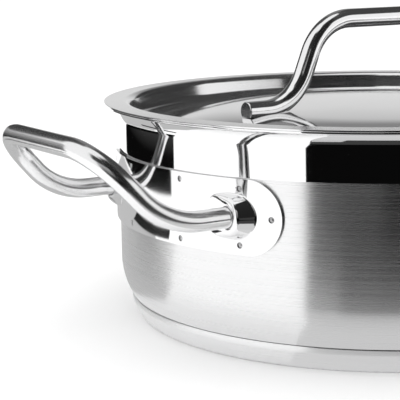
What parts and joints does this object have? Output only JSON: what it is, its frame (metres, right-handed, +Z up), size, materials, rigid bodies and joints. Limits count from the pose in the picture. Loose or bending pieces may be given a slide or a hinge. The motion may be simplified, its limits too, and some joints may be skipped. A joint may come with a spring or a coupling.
{
  "type": "casserole pot with lid",
  "caption": "Low stainless steel casserole pot with a sandwich base, bent tube side handles on spot-welded plates, and a recessed lift-off lid with a bent bar handle.",
  "frame": {"origin": "middle of the base's underside", "axes": "+Z up along the pot's axis, +X through the right side handle, with the lid's bar handle in the XZ plane"},
  "size_m": [0.4078, 0.2952, 0.162],
  "materials": {
    "brushed_steel": "satin with fine lines round the pot",
    "polished_steel": "mirror-polished stainless steel",
    "weld_steel": "plain weld",
    "core_aluminium": "plain rolled sheet"
  },
  "bodies": {
    "pot": {"pot_body": "brushed_steel", "base_core": "core_aluminium", "base_cap": "brushed_steel", "left_handle_plate": "polished_steel", "left_handle_tube": "polished_steel", "left_spot_weld_1": "weld_steel", "left_spot_weld_2": "weld_steel", "left_spot_weld_3": "weld_steel", "left_spot_weld_4": "weld_steel", "left_spot_weld_5": "weld_steel", "left_spot_weld_6": "weld_steel", "left_spot_weld_7": "weld_steel", "left_spot_weld_8": "weld_steel", "left_spot_weld_9": "weld_steel", "left_spot_weld_10": "weld_steel", "left_tube_bead_1": "weld_steel", "left_tube_bead_2": "weld_steel", "right_handle_plate": "polished_steel", "right_handle_tube": "polished_steel", "right_spot_weld_1": "weld_steel", "right_spot_weld_2": "weld_steel", "right_spot_weld_3": "weld_steel", "right_spot_weld_4": "weld_steel", "right_spot_weld_5": "weld_steel", "right_spot_weld_6": "weld_steel", "right_spot_weld_7": "weld_steel", "right_spot_weld_8": "weld_steel", "right_spot_weld_9": "weld_steel", "right_spot_weld_10": "weld_steel", "right_tube_bead_1": "weld_steel", "right_tube_bead_2": "weld_steel"},
    "lid": {"lid_shell": "polished_steel", "lid_handle": "polished_steel", "lid_foot_weld_1": "weld_steel", "lid_foot_weld_2": "weld_steel"}
  },
  "joints": [
    {"name": "lid_lift", "type": "slide", "parent": "pot", "child": "lid", "axis": [0, 0, 1], "range_m": [0, 0.15]}
  ]
}
